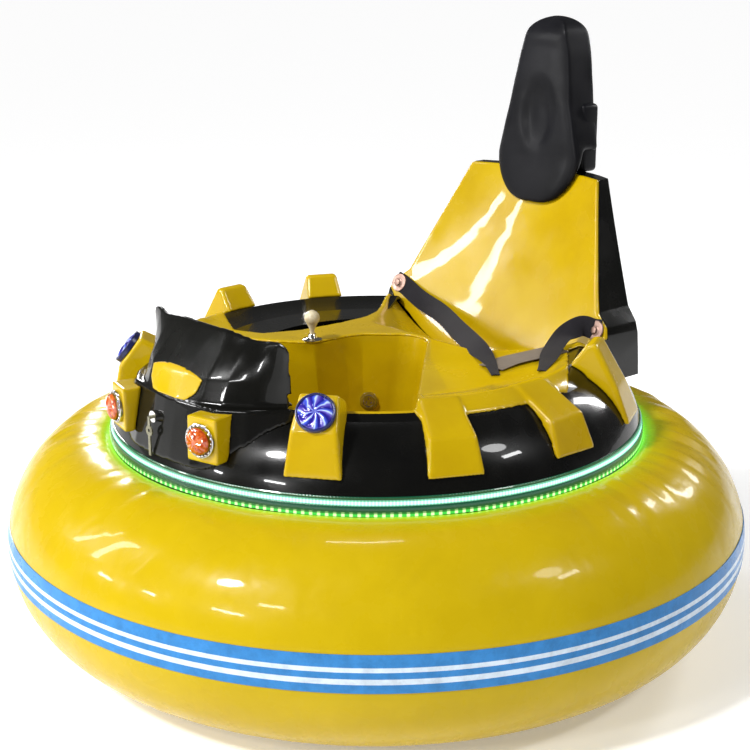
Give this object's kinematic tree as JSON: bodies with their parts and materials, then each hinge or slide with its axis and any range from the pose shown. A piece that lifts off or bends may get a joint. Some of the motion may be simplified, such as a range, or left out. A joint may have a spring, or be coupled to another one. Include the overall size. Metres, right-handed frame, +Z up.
{
  "type": "inflatable bumper car",
  "caption": "Round electric fairground car on an inflated ring tube, with a moulded cockpit, reclined seat, headrest, lamps and hidden drive wheels.",
  "frame": {"origin": "on the floor below the centre of the bumper tube", "axes": "+Z up, -Y the way the car faces, +X the driver's left"},
  "size_m": [1.7999, 1.7998, 1.45],
  "materials": {
    "tube_vinyl": "glossy welded vinyl, wrinkled towards its inner edge",
    "stripe_blue": "glossy vinyl",
    "black_gelcoat": "high-gloss gelcoat",
    "yellow_gelcoat": "high-gloss gelcoat",
    "headrest_foam": "satin moulded foam",
    "led_mint": "lit strip",
    "led_green": "lit strip",
    "chrome_trim": "polished",
    "amber_lens": "moulded lens",
    "disc_lens": "faceted lens",
    "lever_cream": "gloss",
    "webbing": "woven webbing",
    "anchor_steel": "plated washer",
    "frame_steel": "satin paint",
    "battery_case": "satin",
    "motor_paint": "satin paint",
    "tyre_rubber": "matt",
    "hub_alloy": "cast"
  },
  "bodies": {
    "car_body": {"battery": "battery_case", "belt_anchor_left": "anchor_steel", "belt_anchor_right": "anchor_steel", "bumper_tube": "tube_vinyl", "chassis_plate": "frame_steel", "control_lever": "lever_cream", "disc_lamp_left": "disc_lens", "disc_lamp_right": "disc_lens", "disc_post_left": "yellow_gelcoat", "disc_post_right": "yellow_gelcoat", "drive_motor_left": "motor_paint", "drive_motor_right": "motor_paint", "headrest": "headrest_foam", "hood": "black_gelcoat", "hull_drum": "black_gelcoat", "key": "chrome_trim", "key_switch": "chrome_trim", "lamp_bezel_left": "chrome_trim", "lamp_bezel_right": "chrome_trim", "lamp_block_left": "yellow_gelcoat", "lamp_block_right": "yellow_gelcoat", "lamp_lens_left": "amber_lens", "lamp_lens_right": "amber_lens", "led_strip_lower": "led_green", "led_strip_upper": "led_mint", "leg_well": "yellow_gelcoat", "nose_patch": "yellow_gelcoat", "rear_tooth_left": "yellow_gelcoat", "rear_tooth_right": "yellow_gelcoat", "seat_back_panel": "yellow_gelcoat", "seat_belt_left": "webbing", "seat_belt_right": "webbing", "seat_deck": "yellow_gelcoat", "seat_shell": "black_gelcoat", "shoulder_ring": "black_gelcoat", "side_tooth_right": "yellow_gelcoat", "stripe_band": "stripe_blue"},
    "drive_wheel_left": {"drive_tyre_left": "tyre_rubber", "drive_hub_left": "hub_alloy"},
    "drive_wheel_right": {"drive_tyre_right": "tyre_rubber", "drive_hub_right": "hub_alloy"},
    "caster_swivel_front": {"caster_fork_front": "frame_steel"},
    "caster_swivel_rear": {"caster_fork_rear": "frame_steel"},
    "caster_roller_front": {"caster_wheel_front": "tyre_rubber"},
    "caster_roller_rear": {"caster_wheel_rear": "tyre_rubber"}
  },
  "joints": [
    {"name": "drive_wheel_left_spin", "type": "hinge", "parent": "car_body", "child": "drive_wheel_left", "pos_m": [0.34, 0.06, 0.1], "axis": [1, 0, 0], "continuous": true},
    {"name": "drive_wheel_right_spin", "type": "hinge", "parent": "car_body", "child": "drive_wheel_right", "pos_m": [-0.34, 0.06, 0.1], "axis": [1, 0, 0], "continuous": true},
    {"name": "front_caster_swivel", "type": "hinge", "parent": "car_body", "child": "caster_swivel_front", "pos_m": [0, -0.33, 0.13], "axis": [0, 0, 1], "continuous": true},
    {"name": "rear_caster_swivel", "type": "hinge", "parent": "car_body", "child": "caster_swivel_rear", "pos_m": [0, 0.33, 0.13], "axis": [0, 0, 1], "continuous": true},
    {"name": "front_caster_roll", "type": "hinge", "parent": "caster_swivel_front", "child": "caster_roller_front", "pos_m": [0, -0.3, 0.05], "axis": [1, 0, 0], "continuous": true},
    {"name": "rear_caster_roll", "type": "hinge", "parent": "caster_swivel_rear", "child": "caster_roller_rear", "pos_m": [0, 0.36, 0.05], "axis": [1, 0, 0], "continuous": true}
  ]
}
